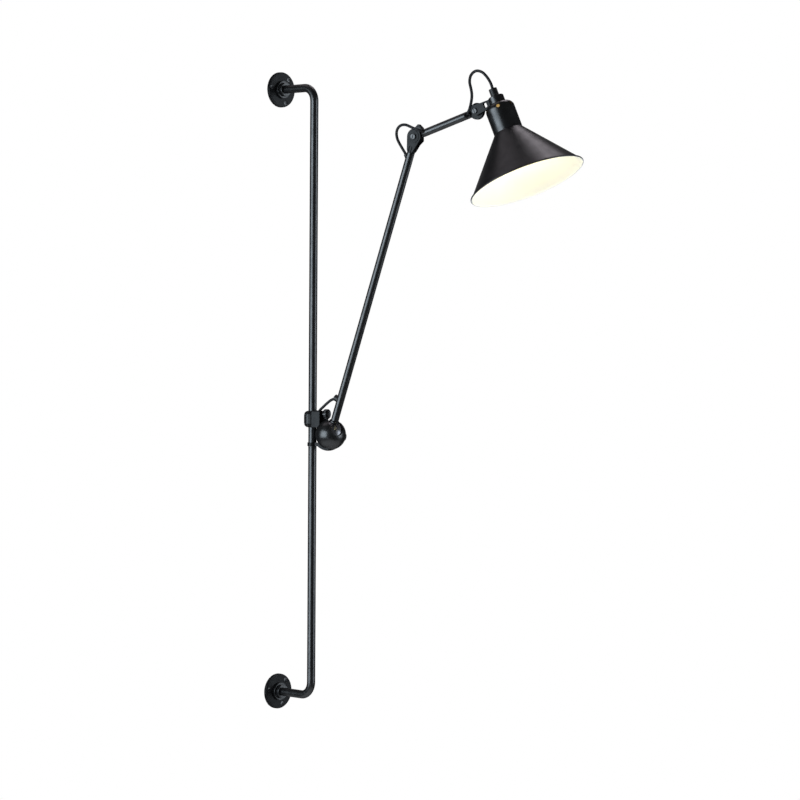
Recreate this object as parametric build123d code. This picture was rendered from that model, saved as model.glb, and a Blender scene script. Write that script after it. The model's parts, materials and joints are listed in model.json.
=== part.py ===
from build123d import *
import math
import os

# Wall lamp with a conical shade on two swinging arms, carried by a carriage that
# slides and turns on a vertical bar. The bar stands off the wall on two bent ends.
# All sizes are millimetres. The origin is the centre of the upper wall plate's back
# face: +Z is up, the wall is the plane Y = 0 and the room is on the -Y side.

os.makedirs("parts", exist_ok=True)

# ---- clearances
seat_gap = 0.02        # between a piece and the seat it is fixed in
running_gap = 0.05     # radial, between a shaft and the bore it turns in
facing_gap = 0.1       # between flat faces that turn or slide on each other
shell_gap = 0.3        # between curved faces that turn inside each other

# ---- wall bar
mount_spacing = 1100.0     # between the centres of the two wall plates
stand_off = 91.0           # from the wall to the axis of the bar
bar_diameter = 15.0
bar_wall = 1.5
bend_radius = 25.0         # centre line of the bent ends
bent_leg = 50.0            # from a plate's height to the seam with the straight bar
spigot_length = 36.0
seam_chamfer = 0.4

# ---- wall plates
plate_diameter = 64.0
plate_thickness = 6.0
plate_edge = 1.6
plate_land_diameter = 58.0     # raised flat inside the rounded edge
plate_land_height = 0.6
plate_screw_circle = 50.0
plate_screw_hole = 4.5
plate_screw_head = 9.0
plate_screw_count = 3
plate_screw_angle = 50.0
hub_ring_diameter = 32.0
hub_ring_height = 5.0
hub_collar_diameter = 25.0
hub_collar_height = 6.0
hub_edge = 0.8
hub_screw_diameter = 3.0
hub_screw_length = 5.0

# ---- carriage on the bar, heights from the centre of the ball
ball_drop = 624.7          # below the upper plate's centre, at rest
ball_reach = 40.5          # from the bar's axis to the ball's centre
arm_yaw = 11.0             # swing of the arms about the bar, at rest
clamp_diameter = 31.0
clamp_height = 30.0
clamp_edge = 8.0
clamp_rise = 26.7          # clamp's middle above the ball's centre
clamp_split = 0.3          # slit between the two halves of the clamp
bush_outer_diameter = 19.0
bush_length = 26.0
bush_slit = 1.2
lip_clearance = 0.8        # clamp's end lips around the bar, radial
bracket_width = 28.0
bracket_reach = 25.0       # front face of the bracket, from the bar's axis
bracket_edge = 1.0
clamp_screw_offset = 11.7  # sideways, from the bar's axis
clamp_screw_spacing = 16.0
clamp_screw_diameter = 3.0
clamp_screw_head = 4.6
clamp_screw_head_height = 2.4
clamp_screw_seat = 4.5     # head's seat, behind the bar's axis
clamp_screw_length = 16.0
guide_ring_drop = 19.0     # ring's middle below the ball's centre
guide_ring_clearance = 0.3
guide_ring_wall = 1.3
guide_ring_height = 6.4
guide_lug_width = 8.0
saddle_back = 5.3          # saddle's sphere, from the ball's centre towards the bar
saddle_sink = 2.2          # and below it
saddle_width = 22.0
saddle_past = 5.0          # saddle's end, beyond the ball's lowest point

# ---- clamp knob in front of the bracket
knob_rise = 36.3
knob_diameter = 18.0
knob_thickness = 8.0
knob_grip = 5.6            # how far the screw goes into the knob
knob_edge = 1.5
knob_dimple = 1.0
knob_dish_diameter = 80.0
knob_groove_count = 18
knob_groove_diameter = 1.4
knob_boss_diameter = 10.4
knob_boss_length = 2.0
knob_screw_diameter = 6.0

# ---- ball housing and what turns in it
ball_diameter = 55.0
ball_wall = 2.5
ball_turn = -36.0          # slot's plane, turned about the arm from the arms' plane
ball_half_gap = 0.1
slot_width = 26.0
slot_first_angle = 4.0     # centre of the slot's round ends, from the vertical
slot_last_angle = 68.0
pivot_bolt_diameter = 8.0
pivot_bolt_head = 13.0
pivot_bolt_head_height = 2.6
pivot_flat_depth = 1.4
pivot_end_depth = 1.6
housing_screw_diameter = 3.2
housing_screw_head = 5.6
housing_screw_spacing = 9.0
housing_screw_rise = 16.0
housing_screw_seat = 9.9   # outer face of the head, from the bar's axis

# ---- lower arm
lower_arm_length = 558.93  # pivot to pivot
lower_arm_lean = 18.69     # from the vertical, at rest
lower_tube_diameter = 14.0
lower_tube_wall = 1.2
lower_tube_start = 14.0    # from the ball's centre
foot_collar_diameter = 19.0
foot_collar_sink = 1.0     # collar's top, below the level of the ball's surface

# ---- elbow
elbow_disc_diameter = 28.0
elbow_slot = 5.8
elbow_cheek = 3.1
elbow_slot_depth = 16.0
elbow_neck = 30.0          # pivot to the lower tube's end
elbow_plug_length = 4.0
elbow_face_diameter = 21.0
elbow_face_height = 0.8
elbow_bolt_diameter = 6.0
elbow_bolt_head = 11.0
elbow_bolt_head_height = 2.6
tongue_diameter = 26.0
tongue_thickness = 4.6
tongue_neck_height = 11.4
friction_washer_diameter = 20.0
lever_washer_diameter = 16.0
lever_washer_thickness = 1.0
lever_upper_length = 22.5   # from the bolt to each point
lever_lower_length = 14.0
lever_width = 15.0
lever_point = 6.5
lever_thickness = 10.0
lever_edge = 1.2
bolt_end_length = 1.4      # thread seen beyond a nut

# ---- upper arm
upper_arm_length = 135.0
upper_arm_rise = 17.4      # above the horizontal, at rest
upper_tube_diameter = 13.4
upper_tube_wall = 1.2
upper_tube_start = 20.0    # from the elbow's pivot
upper_tube_stop = 15.0     # from the head's pivot
upper_plug_length = 3.5

# ---- head joint
eye_diameter = 29.0
eye_thickness = 6.0
eye_neck_width = 11.0
head_washer_thickness = 0.5
stirrup_thickness = 5.0
stirrup_eye_diameter = 14.0
stirrup_bar = 4.0
stirrup_window_start = 12.5    # window's ends, from the eye and from the pad
stirrup_window_stop = 5.0
stirrup_window_top = 4.8       # above the pivot
stirrup_pivot_top = 10.0       # upper edge above the pivot, at the pivot
stirrup_axis_top = 4.0         # and at the head's axis
stirrup_upper_blend = 141.0    # where the edges leave the eye, as angles around it
stirrup_lower_blend = 235.0
stirrup_lower_drop = 6.5   # middle of the lower bar, below the pivot
head_bolt_diameter = 6.0
head_bolt_head = 10.0
head_bolt_head_height = 2.2
head_nut_diameter = 18.0
head_nut_thickness = 7.0
head_nut_groove_count = 16

# ---- head, heights along its axis from the top of the neck
head_tilt = 24.0           # head's axis from the vertical, at rest
head_reach = 43.3          # from the head's pivot to its axis
neck_drop = 18.5           # top of the neck below the head's pivot
neck_diameter = 51.5
neck_wall = 1.2
neck_length = 41.0
shoulder_height = 11.6
cap_diameter = 27.8
cap_height = 13.5
cap_edge = 1.6
vent_count = 6
vent_diameter = 6.0
vent_rise = 1.6
vent_first_angle = -25.0
nipple_diameter = 10.0
nipple_bore = 6.4
nipple_grip = 3.0          # how far the stud goes into the holder
gland_diameter = 14.6
gland_height = 14.7
gland_mouth = 10.0
gland_mouth_depth = 9.0
shade_diameter = 206.0
shade_length = 96.0        # cone only, along the axis
shade_wall = 1.0
shade_bead = 3.0
shade_collar_length = 8.0
holder_diameter = 40.0
holder_shoulder_diameter = 45.0
holder_shoulder_height = 3.0
holder_top = 7.0
holder_length = 49.0
holder_bore = 27.0
holder_bore_depth = 29.0
ring_height = 5.0
contact_diameter = 12.0
contact_thickness = 1.2
bulb_cap_diameter = 26.4
bulb_cap_length = 28.0
bulb_neck_diameter = 27.4
bulb_diameter = 45.0
bulb_centre_drop = 70.0
bulb_glass_wall = 1.0

# ---- cable
cable_diameter = 5.0
ferrule_diameter = 8.4
ferrule_height = 2.6
base_ferrule_diameter = 12.0
base_ferrule_height = 5.2
hole_clearance = 0.15      # radial, between the cable and a hole in a tube
grommet_diameter = 9.6
grommet_height = 1.2

# ---- supply inlet
inlet_diameter = 9.0
inlet_height = 4.0
inlet_bore = 6.0
channel_diameter = 6.4
channel_reach = 18.8       # from the bar's axis
channel_side = 7.0         # towards the viewer, from the arms' plane
channel_drop = 18.6        # below the bracket's top

# Routes of the three cable loops, chosen by hand. Each is in the arms' plane frame
# (out from the bar, away from the viewer, up), from the pivot that it passes.
base_route = [
    (-21.7, -7.0, 35.1),
    (-21.1, -7.0, 42.3),
    (-14.5, -5.9, 47.9),
    (-6.5, -4.0, 55.5),
    (2.3, -2.4, 62.5),
    (12.3, -0.8, 65.6),
    (20.83, 0.0, 61.57),
]
elbow_route = [
    (-14.07, 0.0, -41.6),
    (-19.0, -0.2, -31.6),
    (-26.0, -1.2, -21.2),
    (-32.6, -2.8, -10.4),
    (-36.8, -4.8, -0.2),
    (-35.6, -7.2, 12.0),
    (-26.8, -9.2, 20.6),
    (-14.6, -10.8, 21.4),
    (-5.0, -12.2, 18.0),
    (5.4, -12.8, 13.6),
    (16.8, -9.4, 10.0),
    (24.2, 0.0, 7.58),
]
head_route = [
    (-24.3, 0.0, -7.6),
    (-16.2, -8.4, -6.4),
    (-9.0, -11.0, 3.2),
    (-6.2, -10.2, 15.4),
    (-5.6, -8.8, 27.6),
    (-8.9, -7.4, 39.6),
    (-13.4, -6.0, 51.2),
    (-11.6, -4.6, 63.2),
    (-2.4, -3.2, 70.6),
    (9.8, -1.8, 68.2),
    (19.4, -0.8, 59.2),
    (27.2, 0.0, 47.6),
    (31.4, 0.0, 35.88),
    (35.6, 0.0, 26.47),
]

# ---- values worked out from the sizes above
bar_radius = bar_diameter / 2
bush_radius = bush_outer_diameter / 2
ball_radius = ball_diameter / 2
cavity_radius = ball_radius - ball_wall
friction_ball_radius = cavity_radius - shell_gap
clamp_bore_radius = bush_radius + running_gap
cheek_outer = elbow_slot / 2 + elbow_cheek
lever_start = cheek_outer + lever_washer_thickness + facing_gap
neck_radius = neck_diameter / 2
cap_radius = cap_diameter / 2
shade_radius = shade_diameter / 2
holder_bottom = holder_top - holder_length
rim_drop = neck_length + shade_length
head_top = shoulder_height + cap_height + gland_height
stirrup_far = -(eye_thickness / 2 + head_washer_thickness + facing_gap)
stirrup_near = stirrup_far - stirrup_thickness
lean = math.radians(lower_arm_lean)
rise = math.radians(upper_arm_rise)

# ---- places
room_from_swing = Location((0, -stand_off, -ball_drop), (0, 0, arm_yaw - 90))
elbow_point = Vector(
    ball_reach + lower_arm_length * math.sin(lean), 0, lower_arm_length * math.cos(lean)
)
head_point = elbow_point + Vector(
    upper_arm_length * math.cos(rise), 0, upper_arm_length * math.sin(rise)
)
ball_point = Vector(ball_reach, 0, 0)
lower_place = Location(ball_point, (0, lower_arm_lean, 0))
ball_place = lower_place * Rot(0, 0, ball_turn) * Rot(0, -lower_arm_lean, 0)
elbow_place = Location(elbow_point, (0, lower_arm_lean, 0))
upper_place = Location(elbow_point, (0, -upper_arm_rise, 0))
eye_place = Location(head_point, (0, -upper_arm_rise, 0))
head_place = Location(head_point, (0, -head_tilt, 0))
neck_place = head_place * Location((head_reach, 0, -neck_drop))

OUT = Vector(1, 0, 0)
AWAY = Vector(0, 1, 0)
UP = Vector(0, 0, 1)


# ---- shapes used more than once
def rod(radius, start, along, length):
    """Solid cylinder from a point, along a direction."""
    base = Plane(origin=start, z_dir=along)
    return base * Cylinder(radius, length, align=(Align.CENTER, Align.CENTER, Align.MIN))


def tube(outer, inner, start, along, length):
    """Hollow cylinder from a point, along a direction."""
    return rod(outer, start, along, length) - rod(inner, start, along, length)


def block(low, high):
    """Box between two corners."""
    size = Vector(*high) - Vector(*low)
    middle = (Vector(*high) + Vector(*low)) / 2
    return Pos(middle) * Box(size.X, size.Y, size.Z)


def spun(points):
    """Solid of revolution about Z of a closed outline of (radius, height) points."""
    outline = Polyline([(r, 0, h) for r, h in points], close=True)
    return revolve(make_face(outline), Axis.Z)


def chamfered_rod(radius, start, along, length, edge):
    """Cylinder with both ends chamfered."""
    body = rod(radius, start, along, length)
    return chamfer(body.edges().filter_by(GeomType.CIRCLE), edge)


def teardrop(big, small, distance, thickness):
    """Plate in the X-Z plane: a disc at the origin blended to a smaller one below it."""
    turn = math.asin((big - small) / distance)
    side = [
        (big * math.cos(turn), -big * math.sin(turn)),
        (small * math.cos(turn), -distance - small * math.sin(turn)),
    ]
    corners = side + [(-x, z) for x, z in reversed(side)]
    face = Plane.XZ * make_face(Polyline(corners, close=True))
    waist = extrude(face, amount=thickness / 2, both=True)
    disc = rod(big, (0, -thickness / 2, 0), AWAY, thickness)
    end = rod(small, (0, -thickness / 2, -distance), AWAY, thickness)
    return waist + disc + end


def slotted_head(radius, height, start, along, slot_width_across):
    """Domed screw head with a straight slot, standing on a face."""
    head = rod(radius, start, along, height)
    top = head.edges().filter_by(GeomType.CIRCLE).sort_by(Axis(start, along))[-1]
    head = fillet(top, height * 0.45)
    slot_depth = height * 0.45
    across = Plane(origin=Vector(*start) + Vector(*along) * height, z_dir=along)
    return head - across * Box(radius * 3, slot_width_across, slot_depth * 2)


def grooved_knob(radius, thickness, start, along, edge, grooves, groove_radius):
    """Round knob with rounded edges and grooves around its rim."""
    body = rod(radius, start, along, thickness)
    body = fillet(body.edges().filter_by(GeomType.CIRCLE), edge)
    base = Plane(origin=start, z_dir=along)
    cutters = [
        base * Pos(*(Vector(radius, 0, 0).rotate(Axis.Z, step * 360 / grooves)))
        * Cylinder(groove_radius, thickness * 3)
        for step in range(grooves)
    ]
    return body - cutters


def arc_radii(route):
    """Bend radius at each inner point: 0.45 of the shorter run over the half turn's tangent."""
    points = [Vector(*p) for p in route]
    radii = []
    for before, here, after in zip(points, points[1:], points[2:]):
        run_in = here - before
        run_out = after - here
        half_turn = math.radians(run_in.get_angle(run_out)) / 2
        radii.append(0.45 * min(run_in.length, run_out.length) / math.tan(half_turn))
    return radii


def cable_form(route, pivot, clearance):
    """Round form of straight runs joined by tangent arcs, along a cable's route."""
    points = [Vector(*p) + pivot for p in route]
    path = FilletPolyline(*points, radius=arc_radii(route))
    radius = cable_diameter / 2 + clearance
    section = Plane(origin=path @ 0, z_dir=path % 0) * Circle(radius)
    return sweep(section, path=path), path.length


def cable(name, route, pivot):
    """Cable along its route, with its length, volume and bend radii printed."""
    solid, length = cable_form(route, pivot, 0)
    expected = math.pi * (cable_diameter / 2) ** 2 * length
    print(name, "length", round(length, 1), "volume ratio", round(solid.volume / expected, 4))
    print("   radii", [round(radius, 1) for radius in arc_radii(route)])
    return solid


def straight_hole(first, second, pivot):
    """Hole for a cable from its end on a tube's axis out through the wall."""
    along = (Vector(*second) - Vector(*first)).normalized()
    start = Vector(*first) + pivot
    return rod(cable_diameter / 2 + hole_clearance, start, along, lower_tube_diameter)


def ferrule(route, pivot, at_end, arm_along, arm_radius, diameter, height):
    """Bushing around the cable where it leaves an arm's tube."""
    ordered = list(reversed(route)) if at_end else route
    start = Vector(*ordered[0]) + pivot
    along = (Vector(*ordered[1]) - Vector(*ordered[0])).normalized()
    slant = math.sin(math.radians(along.get_angle(arm_along)))
    body = rod(diameter / 2, start, along, arm_radius / slant + height)
    arm_start = start - arm_along * arm_radius * 8
    body = body - rod(arm_radius + seat_gap, arm_start, arm_along, arm_radius * 16)
    bore, length = cable_form(route, pivot, running_gap)
    return body - bore


# ---- wall bar
def wall_plate():
    """Round plate with three countersunk screw holes, its back on the wall."""
    plate = rod(plate_diameter / 2, (0, 0, 0), -AWAY, plate_thickness - plate_land_height)
    front = plate.edges().filter_by(GeomType.CIRCLE).sort_by(Axis.Y)[0]
    plate = fillet(front, plate_edge)
    land_start = plate_thickness - plate_land_height - 0.2
    land = rod(plate_land_diameter / 2, (0, -land_start, 0), -AWAY, plate_land_height + 0.2)
    plate = plate + land
    sink = (plate_screw_head - plate_screw_hole) / 2
    for step in range(plate_screw_count):
        angle = math.radians(plate_screw_angle + step * 360 / plate_screw_count)
        x = plate_screw_circle / 2 * math.cos(angle)
        z = plate_screw_circle / 2 * math.sin(angle)
        hole = rod(plate_screw_hole / 2, (x, 1, z), -AWAY, plate_thickness + 2)
        cone = Plane(origin=(x, -plate_thickness + sink, z), z_dir=-AWAY) * Cone(
            plate_screw_hole / 2,
            plate_screw_head / 2,
            sink,
            align=(Align.CENTER, Align.CENTER, Align.MIN),
        )
        plate = plate - hole - cone
    return plate


def plate_hub():
    """Stepped boss on the plate that takes the end of the bent tube."""
    front = plate_thickness + hub_ring_height
    ring = rod(hub_ring_diameter / 2, (0, -plate_thickness, 0), -AWAY, hub_ring_height)
    ring = fillet(ring.edges().filter_by(GeomType.CIRCLE).sort_by(Axis.Y)[0], hub_edge)
    collar = rod(hub_collar_diameter / 2, (0, -front, 0), -AWAY, hub_collar_height)
    collar = fillet(collar.edges().filter_by(GeomType.CIRCLE).sort_by(Axis.Y)[0], hub_edge)
    bore = rod(bar_radius + seat_gap, (0, 0, 0), -AWAY, front + hub_collar_height + 1)
    hole_start = hub_screw_start() + UP * hub_screw_diameter
    screw_hole = rod(hub_screw_diameter / 2 + seat_gap, hole_start, -UP, hub_ring_diameter)
    return ring + collar - bore - screw_hole


def hub_screw_start():
    """Where the grub screw bears on the tube."""
    return Vector(0, -plate_thickness - hub_ring_height / 2, -bar_radius - seat_gap)


def hub_screw():
    """Grub screw that holds the tube in the hub."""
    screw = rod(hub_screw_diameter / 2, hub_screw_start(), -UP, hub_screw_length)
    socket = rod(
        hub_screw_diameter / 4, hub_screw_start() - UP * hub_screw_length / 2, -UP, hub_screw_length
    )
    return screw - socket


def bent_tube(down):
    """Tube from the plate, turned through a right angle to meet the straight bar."""
    start = Vector(0, -plate_thickness, 0)
    corner = Vector(0, -stand_off, 0)
    finish = Vector(0, -stand_off, down * bent_leg)
    path = FilletPolyline(start, corner, finish, radius=bend_radius)
    section = Plane(origin=path @ 0, z_dir=path % 0) * Circle(bar_radius)
    hollow = Plane(origin=path @ 0, z_dir=path % 0) * Circle(bar_radius - bar_wall)
    body = sweep(section, path=path)
    seam = body.edges().filter_by(GeomType.CIRCLE).sort_by(Axis.Z)
    body = chamfer(seam[-1] if down > 0 else seam[0], seam_chamfer)
    return body - sweep(hollow, path=path)


def straight_bar():
    """Long straight part of the bar between the two seams."""
    length = mount_spacing - 2 * bent_leg
    start = (0, -stand_off, -bent_leg - length)
    body = chamfered_rod(bar_radius, start, UP, length, seam_chamfer)
    return body - rod(bar_radius - bar_wall, start, UP, length)


def joint_spigot(height):
    """Pin inside the two tubes that meet at a seam."""
    radius = bar_radius - bar_wall - seat_gap
    start = (0, -stand_off, height - spigot_length / 2)
    return chamfered_rod(radius, start, UP, spigot_length, 1.0)


# ---- carriage, in the swing frame: the bar's axis at the ball's height
def guide_bush():
    """Split bush that slides on the bar inside the clamp."""
    start = Vector(0, 0, clamp_rise - bush_length / 2)
    body = tube(bush_radius, bar_radius + running_gap, start, UP, bush_length)
    slit = block(
        (-bush_outer_diameter, -bush_slit / 2, clamp_rise - bush_length),
        (0, bush_slit / 2, clamp_rise + bush_length),
    )
    return body - slit


def clamp_barrel():
    """Outer form of the clamp, with the bush's pocket and the end lips."""
    bottom = clamp_rise - clamp_height / 2
    barrel = rod(clamp_diameter / 2, (0, 0, bottom), UP, clamp_height)
    return fillet(barrel.edges().filter_by(GeomType.CIRCLE), clamp_edge)


def clamp_bore():
    """What is taken out of the clamp for the bush and the bar."""
    pocket_length = bush_length + 2 * facing_gap
    pocket = rod(clamp_bore_radius, (0, 0, clamp_rise - pocket_length / 2), UP, pocket_length)
    lips = rod(bar_radius + lip_clearance, (0, 0, clamp_rise - clamp_height), UP, 2 * clamp_height)
    return pocket + lips


def clamp_screw_places():
    """Seats of the four screws that join the clamp's halves."""
    return [
        Vector(-clamp_screw_seat, side * clamp_screw_offset, clamp_rise + row * clamp_screw_spacing / 2)
        for side in (-1, 1)
        for row in (-1, 1)
    ]


def clamp_screw_holes():
    """Holes and head pockets of the clamp's screws."""
    holes = Part()
    for place in clamp_screw_places():
        shank = clamp_screw_diameter / 2 + seat_gap
        holes += rod(shank, place, OUT, clamp_screw_length + 0.5)
        holes += rod(clamp_screw_head / 2 + facing_gap, place, -OUT, clamp_diameter)
    return holes


def clamp_screws():
    """Cap screws from the rear half into the bracket."""
    screws = []
    for place in clamp_screw_places():
        head = rod(clamp_screw_head / 2, place, -OUT, clamp_screw_head_height)
        shank = rod(clamp_screw_diameter / 2, place, OUT, clamp_screw_length)
        key = rod(
            clamp_screw_diameter / 3,
            place - OUT * clamp_screw_head_height / 2,
            -OUT,
            clamp_screw_head_height,
        )
        screws.append(head + shank - key)
    return screws


def clamp_rear_half():
    """Rear half of the clamp, behind the bar."""
    far = clamp_diameter
    keep = block((-far, -far, -far), (-clamp_split / 2, far, 2 * far))
    return (clamp_barrel() & keep) - clamp_bore() - clamp_screw_holes()


def housing_screw_places():
    """Seats of the two screws from the bracket into the ball's near half."""
    return [
        Vector(housing_screw_seat, side * housing_screw_spacing / 2, housing_screw_rise)
        for side in (-1, 1)
    ]


def housing_screw_length():
    """From the seat to just short of the space inside the ball."""
    side = (housing_screw_spacing - housing_screw_diameter) / 2
    height = housing_screw_rise - housing_screw_diameter / 2
    cavity_across = math.sqrt(cavity_radius**2 - height**2 - side**2)
    return ball_reach - cavity_across - housing_screw_seat - running_gap


def housing_screw_form(place, clearance):
    """One countersunk housing screw, or with a clearance its hole."""
    sink = (housing_screw_head - housing_screw_diameter) / 2
    head = Plane(origin=place, z_dir=OUT) * Cone(
        housing_screw_head / 2 + clearance,
        housing_screw_diameter / 2 + clearance,
        sink,
        align=(Align.CENTER, Align.CENTER, Align.MIN),
    )
    shank = rod(housing_screw_diameter / 2 + clearance, place, OUT, housing_screw_length())
    return head + shank


def housing_screw_holes():
    """Holes of the housing screws, open to the clamp's bore."""
    holes = Part()
    for place in housing_screw_places():
        holes += housing_screw_form(place, seat_gap)
        entry_start = Vector(0, place.Y, place.Z)
        holes += rod(housing_screw_head / 2 + seat_gap, entry_start, OUT, housing_screw_seat)
    return holes


def housing_screws():
    """Countersunk screws that hold the ball's near half on the bracket."""
    screws = []
    for place in housing_screw_places():
        key = rod(housing_screw_diameter / 4, place - OUT, OUT, 2)
        screws.append(housing_screw_form(place, 0) - key)
    return screws


def carriage_bracket():
    """Front half of the clamp with the saddle that carries the ball."""
    bottom = clamp_rise - clamp_height / 2
    top = clamp_rise + clamp_height / 2
    far = clamp_diameter
    keep = block((clamp_split / 2, -far, -far), (far, far, 2 * far))
    front = block((bar_radius, -bracket_width / 2, bottom), (bracket_reach, bracket_width / 2, top))
    front = chamfer(front.edges().filter_by(Axis.X), bracket_edge)
    body = (clamp_barrel() & keep) + front
    boss = rod(
        knob_boss_diameter / 2, (bracket_reach - 1, 0, knob_rise), OUT, knob_boss_length + 1
    )
    body = body + boss
    body = body - clamp_bore() - clamp_screw_holes() - housing_screw_holes()
    body = body - Pos(ball_point) * Sphere(ball_radius + seat_gap)
    screw_room = bracket_reach + 2 * knob_boss_length
    body = body - rod(knob_screw_diameter / 2 + running_gap, (0, 0, knob_rise), OUT, screw_room)
    channel_turn = Vector(channel_reach, -channel_side, top - channel_drop)
    cable_end = Vector(*base_route[0]) + ball_point
    channel_radius = channel_diameter / 2
    body = body - rod(channel_radius, channel_turn, UP, cable_end.Z - channel_turn.Z + 1)
    body = body - rod(channel_radius, channel_turn, AWAY, bracket_width)
    cable_room, length = cable_form(base_route, ball_point, hole_clearance)
    return body - cable_room


def bracket_grommet():
    """Low grommet on the bracket's top around the cable."""
    top = clamp_rise + clamp_height / 2 + seat_gap
    centre = Vector(*base_route[1]) + ball_point
    body = rod(grommet_diameter / 2, (centre.X, centre.Y, top), UP, grommet_height)
    body = chamfer(body.edges().filter_by(GeomType.CIRCLE).sort_by(Axis.Z)[-1], 0.3)
    bore, length = cable_form(base_route, ball_point, running_gap)
    return body - bore


def supply_inlet():
    """Bushing on the far side of the bracket, where the supply lead would enter."""
    top = clamp_rise + clamp_height / 2
    face = Vector(channel_reach, bracket_width / 2, top - channel_drop)
    body = tube(inlet_diameter / 2, inlet_bore / 2, face, AWAY, inlet_height)
    outer = body.edges().filter_by(GeomType.CIRCLE).sort_by(Axis.Y)[-1]
    return fillet(outer, 0.6)


def lower_guide_ring():
    """Thin ring around the bar below the ball, on a lug and a saddle that meet the ball."""
    inner = bar_radius + guide_ring_clearance
    outer = inner + guide_ring_wall
    start = Vector(0, 0, -guide_ring_drop - guide_ring_height / 2)
    ring = rod(outer, start, UP, guide_ring_height)
    lug = block(
        (0, -guide_lug_width / 2, start.Z),
        (ball_reach, guide_lug_width / 2, start.Z + guide_ring_height),
    )
    strip = block(
        (outer, -saddle_width / 2, -ball_diameter),
        (ball_reach + saddle_past, saddle_width / 2, start.Z + guide_ring_height),
    )
    saddle_point = ball_point + Vector(-saddle_back, 0, -saddle_sink)
    saddle = Pos(saddle_point) * Sphere(ball_radius) & strip
    body = ring + lug + saddle - rod(inner, start, UP, guide_ring_height)
    return body - Pos(ball_point) * Sphere(ball_radius + seat_gap)


def slot_cutter():
    """Space in the ball for the arm's foot, round at both ends."""
    reach = ball_diameter
    first = math.radians(slot_first_angle)
    last = math.radians(slot_last_angle)
    middle = (first + last) / 2
    corners = [(0, 0)]
    for angle in (first, middle, last):
        corners.append((reach * math.sin(angle), reach * math.cos(angle)))
    face = Plane.XZ * make_face(Polyline(corners, close=True))
    sector = extrude(face, amount=slot_width / 2, both=True)
    for angle in (first, last):
        sector = sector + rod(
            slot_width / 2, (0, 0, 0), (math.sin(angle), 0, math.cos(angle)), reach
        )
    return sector


def ball_half(side):
    """One half of the hollow ball; side is -1 for the near half and 1 for the far one."""
    shell = Sphere(ball_radius) - Sphere(cavity_radius)
    near_limit = ball_half_gap / 2
    far = ball_diameter
    if side < 0:
        keep = block((-far, -far, -far), (far, -near_limit, far))
    else:
        keep = block((-far, near_limit, -far), (far, far, far))
    half = (shell & keep) - slot_cutter()
    if side < 0:
        end = cavity_radius + pivot_end_depth
        half = half - rod(pivot_bolt_diameter / 2 + seat_gap, (0, 0, 0), -AWAY, end + seat_gap)
    else:
        flat = ball_radius - pivot_flat_depth
        half = half - rod(pivot_bolt_diameter / 2 + seat_gap, (0, 0, 0), AWAY, far)
        half = half - rod(pivot_bolt_head / 2 + shell_gap, (0, flat, 0), AWAY, far)
    return ball_place * half - housing_screw_holes()


def pivot_bolt():
    """Bolt that joins the ball's halves and that the arm's foot turns on."""
    start = -(cavity_radius + pivot_end_depth)
    seat = ball_radius - pivot_flat_depth
    shank = rod(pivot_bolt_diameter / 2, (0, start, 0), AWAY, seat - start)
    head = slotted_head(pivot_bolt_head / 2, pivot_bolt_head_height, (0, seat, 0), AWAY, 1.6)
    return ball_place * (shank + head)


def clamp_knob():
    """Round knob that tightens the clamp screw."""
    start = Vector(bracket_reach + knob_boss_length + shell_gap, 0, knob_rise)
    knob = grooved_knob(
        knob_diameter / 2, knob_thickness, start, OUT, knob_edge, knob_groove_count, knob_groove_diameter / 2
    )
    dish_centre = start + OUT * (knob_thickness + knob_dish_diameter / 2 - knob_dimple)
    dish = Pos(dish_centre) * Sphere(knob_dish_diameter / 2)
    bore = rod(knob_screw_diameter / 2 + seat_gap, start - OUT, OUT, knob_grip + 1)
    return knob - dish - bore


def clamp_screw():
    """Screw of the knob; its tip bears on the split bush."""
    tip = bush_radius + shell_gap
    finish = bracket_reach + knob_boss_length + shell_gap + knob_grip - seat_gap
    return chamfered_rod(knob_screw_diameter / 2, (tip, 0, knob_rise), OUT, finish - tip, 0.4)


# ---- lower arm, from the ball's centre up along +Z, then placed
def friction_ball():
    """Ball that turns with the arm inside the housing."""
    body = Sphere(friction_ball_radius)
    body = body - rod(pivot_bolt_diameter / 2 + running_gap, (0, -ball_diameter, 0), AWAY, 2 * ball_diameter)
    socket = rod(lower_tube_diameter / 2 + seat_gap, (0, 0, lower_tube_start), UP, ball_diameter)
    return lower_place * Rot(0, 0, ball_turn) * (body - socket)


def foot_collar():
    """Collar around the arm where it stands on the ball."""
    start = friction_ball_radius / 2
    top = ball_radius - foot_collar_sink
    body = rod(foot_collar_diameter / 2, (0, 0, start), UP, top - start)
    body = chamfer(body.edges().filter_by(GeomType.CIRCLE).sort_by(Axis.Z)[-1], 1.0)
    body = body - rod(lower_tube_diameter / 2 + seat_gap, (0, 0, 0), UP, ball_diameter)
    return lower_place * (body - Sphere(friction_ball_radius + seat_gap))


def lower_arm_tube():
    """Long tube of the lower arm, with its two cable holes."""
    length = lower_arm_length - elbow_neck - lower_tube_start
    radius = lower_tube_diameter / 2
    body = tube(radius, radius - lower_tube_wall, (0, 0, lower_tube_start), UP, length)
    base_hole = straight_hole(base_route[-1], base_route[-2], ball_point)
    elbow_hole = straight_hole(elbow_route[0], elbow_route[1], elbow_point)
    return lower_place * body - base_hole - elbow_hole


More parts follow.
